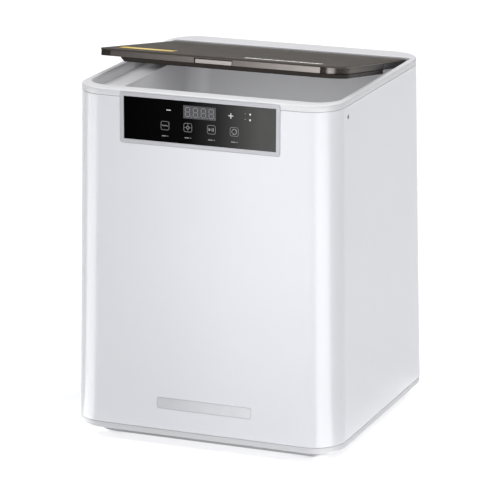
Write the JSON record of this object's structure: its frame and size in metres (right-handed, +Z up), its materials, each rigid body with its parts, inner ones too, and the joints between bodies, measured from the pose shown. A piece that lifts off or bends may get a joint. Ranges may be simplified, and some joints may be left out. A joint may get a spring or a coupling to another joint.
{
  "type": "uv curing station",
  "caption": "Upright white UV curing station for resin prints, with a recessed flip-up smoked lid, front touch panel, lamp-lined chamber and motor-driven turntable.",
  "frame": {"origin": "centre of the housing's footprint, on the ground plane under the rubber feet", "axes": "+Z up; the front with the touch panel faces -Y; +X to the right seen from the front; the lid stands in its rest pose, 9 degrees open"},
  "size_m": [0.3314, 0.3272, 0.4523],
  "materials": {
    "shell_white": "moulded, gloss",
    "rim_white": "moulded, satin",
    "skirt_white": "moulded, satin",
    "base_grey": "moulded, fine texture",
    "foot_rubber": "matt",
    "steel": "turned or stamped",
    "frame_silver": "moulded, satin, pale silver",
    "panel_glass": "black-backed touch glass, gloss",
    "black_plastic": "moulded",
    "circuit_board": "green solder mask",
    "lamp_board": "white solder mask with emitters",
    "liner_grey": "moulded, satin grey",
    "clear_window": "clear",
    "lid_tint": "smoked translucent, gloss",
    "lid_tint_light": "smoked translucent, frosted behind",
    "accent_yellow": "printed film",
    "plate_grey": "satin",
    "table_white": "moulded, satin",
    "cable_grey": "flat cable"
  },
  "bodies": {
    "housing": {"outer_shell": "shell_white", "top_rim": "rim_white", "base_skirt": "skirt_white", "base_plate": "base_grey", "foot_fl": "foot_rubber", "foot_fr": "foot_rubber", "foot_bl": "foot_rubber", "foot_br": "foot_rubber", "foot_screw_fl": "steel", "foot_screw_fr": "steel", "foot_screw_bl": "steel", "foot_screw_br": "steel", "shell_screw_left": "steel", "shell_screw_right": "steel", "panel_frame": "frame_silver", "control_glass": "panel_glass", "display_module": "black_plastic", "control_board": "circuit_board", "chamber_liner": "liner_grey", "diffuser_left": "clear_window", "diffuser_right": "clear_window", "diffuser_rear": "clear_window", "uv_board_left": "lamp_board", "uv_board_right": "lamp_board", "uv_board_rear": "lamp_board", "drive_motor": "steel", "motor_bracket": "steel", "spindle": "steel", "thrust_washer": "table_white", "driver_board": "circuit_board", "ribbon_cable": "cable_grey", "hinge_pin_left": "steel", "hinge_pin_right": "steel", "lid_sensor": "black_plastic", "lid_bumper_front": "foot_rubber", "lid_bumper_rear": "foot_rubber", "fan_frame": "black_plastic", "fan_grille": "frame_silver", "io_plate": "black_plastic", "dc_jack": "black_plastic", "switch_housing": "black_plastic", "nameplate": "plate_grey"},
    "lid": {"lid_cover": "lid_tint", "lid_tray": "lid_tint", "lid_hinge_beam": "black_plastic", "lid_fascia": "lid_tint_light", "lid_latch": "lid_tint_light", "accent_stripe": "accent_yellow", "lid_magnet": "steel"},
    "turntable": {"turntable": "table_white"},
    "drive_rotor": {"drive_rotor": "black_plastic"},
    "fan_rotor": {"fan_rotor": "black_plastic"},
    "switch_rocker": {"switch_rocker": "plate_grey"}
  },
  "joints": [
    {"name": "lid_hinge", "type": "hinge", "parent": "housing", "child": "lid", "pos_m": [0, 0.1183, 0.4145], "axis": [-1, 0, 0], "range_deg": [-9, 86]},
    {"name": "turntable_spin", "type": "hinge", "parent": "housing", "child": "turntable", "pos_m": [0.01275, 0.01, 0.1], "axis": [0, 0, 1], "continuous": true},
    {"name": "rotor_spin", "type": "hinge", "parent": "housing", "child": "drive_rotor", "pos_m": [0.01275, 0.01, 0.083], "axis": [0, 0, 1], "continuous": true},
    {"name": "fan_spin", "type": "hinge", "parent": "housing", "child": "fan_rotor", "pos_m": [-0.07, 0.15, 0.062], "axis": [0, 1, 0], "continuous": true},
    {"name": "switch_rock", "type": "hinge", "parent": "housing", "child": "switch_rocker", "pos_m": [0.108, 0.15878, 0.062], "axis": [-1, 0, 0], "range_deg": [0, 14]}
  ],
  "couplings": [
    {"joint": "rotor_spin", "follows": "turntable_spin", "ratio": 1}
  ]
}
